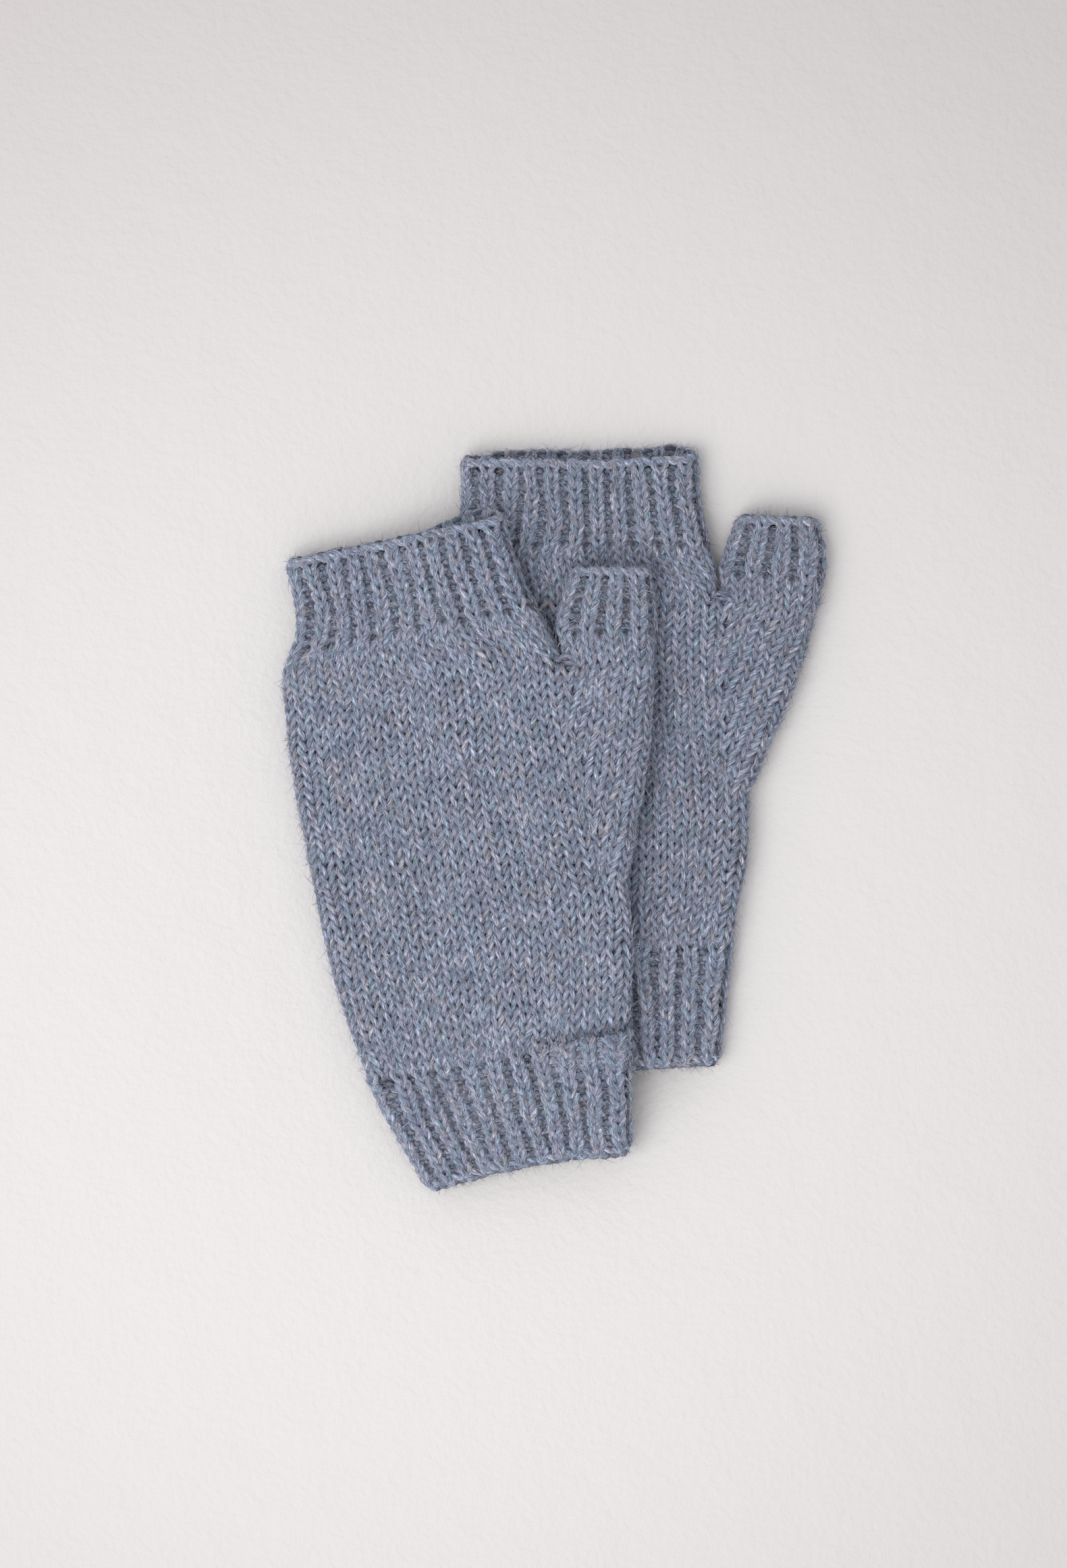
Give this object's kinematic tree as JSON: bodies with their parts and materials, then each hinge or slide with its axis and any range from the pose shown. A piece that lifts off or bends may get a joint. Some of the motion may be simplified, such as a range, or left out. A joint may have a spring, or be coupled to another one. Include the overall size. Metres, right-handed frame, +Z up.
{
  "type": "fingerless gloves",
  "caption": "Hand-knitted fingerless mitts lying flat, the left one partly over the right, each with ribbed wrist and finger cuffs, a thumb gusset and a short ribbed thumb.",
  "frame": {"origin": "on the surface that the mitts lie on, under the middle of the pair's bounding box", "axes": "+Y from the wrist edges towards the fingers, +X towards the thumbs, +Z up from the surface"},
  "size_m": [0.1608, 0.2192, 0.0229],
  "materials": {
    "plain_knit": "heathered blue-grey wool in stockinette",
    "ribbed_knit": "heathered blue-grey wool in one-by-one rib",
    "edge_knit": "heathered blue-grey wool, cast-on and bind-off chains"
  },
  "bodies": {
    "right_mitt": {"right_cast_on": "edge_knit", "right_wrist_cuff": "ribbed_knit", "right_hand_tube": "plain_knit", "right_thumb_gusset": "plain_knit", "right_finger_cuff": "ribbed_knit", "right_finger_bind_off": "edge_knit"},
    "right_thumb_stall": {"right_thumb": "plain_knit", "right_thumb_cuff": "ribbed_knit", "right_thumb_bind_off": "edge_knit"},
    "left_mitt": {"left_cast_on": "edge_knit", "left_wrist_cuff": "ribbed_knit", "left_hand_tube": "plain_knit", "left_thumb_gusset": "plain_knit", "left_finger_cuff": "ribbed_knit", "left_finger_bind_off": "edge_knit"},
    "left_thumb_stall": {"left_thumb": "plain_knit", "left_thumb_cuff": "ribbed_knit", "left_thumb_bind_off": "edge_knit"}
  },
  "joints": [
    {"name": "right_thumb_fold", "type": "hinge", "parent": "right_mitt", "child": "right_thumb_stall", "pos_m": [0.06464, 0.06424, 0.011], "axis": [0.9913, -0.1319, 0], "range_deg": [0, 75]},
    {"name": "left_lift", "type": "slide", "parent": "right_mitt", "child": "left_mitt", "axis": [0, 0, 1], "range_m": [0, 0.08]},
    {"name": "left_thumb_fold", "type": "hinge", "parent": "left_mitt", "child": "left_thumb_stall", "pos_m": [0.01683, 0.04668, 0.0229], "axis": [1, 0.0024, 0], "range_deg": [0, 75]}
  ]
}
